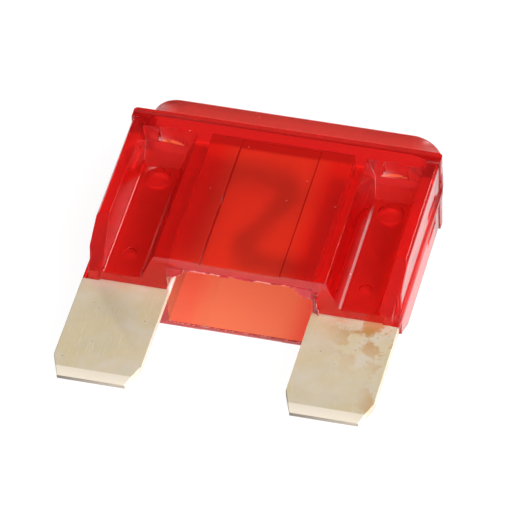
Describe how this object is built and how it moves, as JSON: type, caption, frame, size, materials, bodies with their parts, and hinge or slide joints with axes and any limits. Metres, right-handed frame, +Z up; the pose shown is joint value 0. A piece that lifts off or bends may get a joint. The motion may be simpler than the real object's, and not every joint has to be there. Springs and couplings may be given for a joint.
{
  "type": "blade fuse",
  "caption": "Large plug-in blade fuse: a see-through red moulded housing, open below, holds a stamped metal element with flat blades and an S-shaped fuse link.",
  "frame": {"origin": "on the surface that the fuse lies on, under the middle of its bounding box", "axes": "+X across the blades, +Y from the blade tips to the grip ridge, +Z up out of the front face; the fuse lies on its back"},
  "size_m": [0.0292, 0.0342, 0.0085],
  "materials": {
    "red_plastic": "clear red moulded plastic, glossy outside",
    "zinc": "bare zinc alloy, dull, with brown tarnish near the housing"
  },
  "bodies": {
    "root": {"housing": "red_plastic", "fuse_element": "zinc"}
  },
  "joints": []
}
